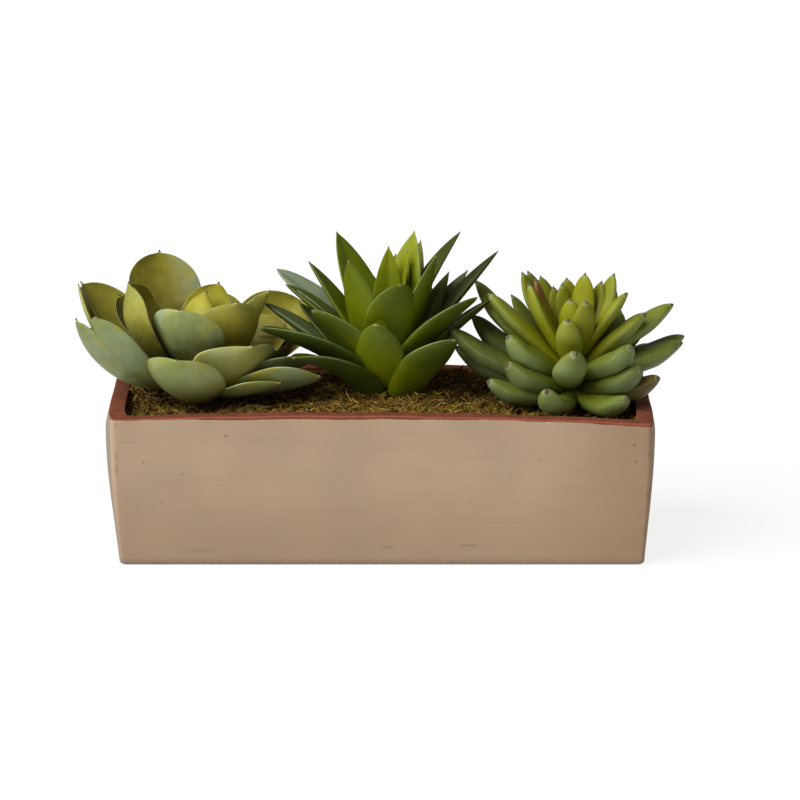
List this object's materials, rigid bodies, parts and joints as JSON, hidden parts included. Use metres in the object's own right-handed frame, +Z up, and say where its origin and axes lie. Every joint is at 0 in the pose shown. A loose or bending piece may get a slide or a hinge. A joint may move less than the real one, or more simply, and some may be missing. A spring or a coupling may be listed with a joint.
{
  "type": "succulent dish garden",
  "caption": "Three succulent rosettes with different leaves, rooted in soil and moss in a long low rectangular terracotta planter with a matt slip coat and a bare clay rim.",
  "frame": {"origin": "middle of the planter's flat base", "axes": "+Z up; +X along the planter's long side, towards the rosette of finger-shaped leaves; +Y across the planter, away from the side shown in the picture"},
  "size_m": [0.3216, 0.1185, 0.164],
  "materials": {
    "slip_coated_terracotta": "matt taupe slip, bare red-brown clay at the rim",
    "potting_soil": "dark crumbly peat soil",
    "moss": "olive and golden moss fibres",
    "spoon_leaf": "waxy grey-green leaf, olive to cream inside the rosette, thin purple-grey margin",
    "pointed_leaf": "smooth mid-green leaf with a yellow-green upper face, pale margin and dark tip",
    "finger_leaf": "plump waxy green leaf with a mauve-grey tip"
  },
  "bodies": {
    "root": {"planter": "slip_coated_terracotta", "potting_soil": "potting_soil", "moss_mat": "moss", "rosette_spoon_leaves": "spoon_leaf", "rosette_pointed_leaves": "pointed_leaf", "rosette_finger_leaves": "finger_leaf"}
  },
  "joints": []
}
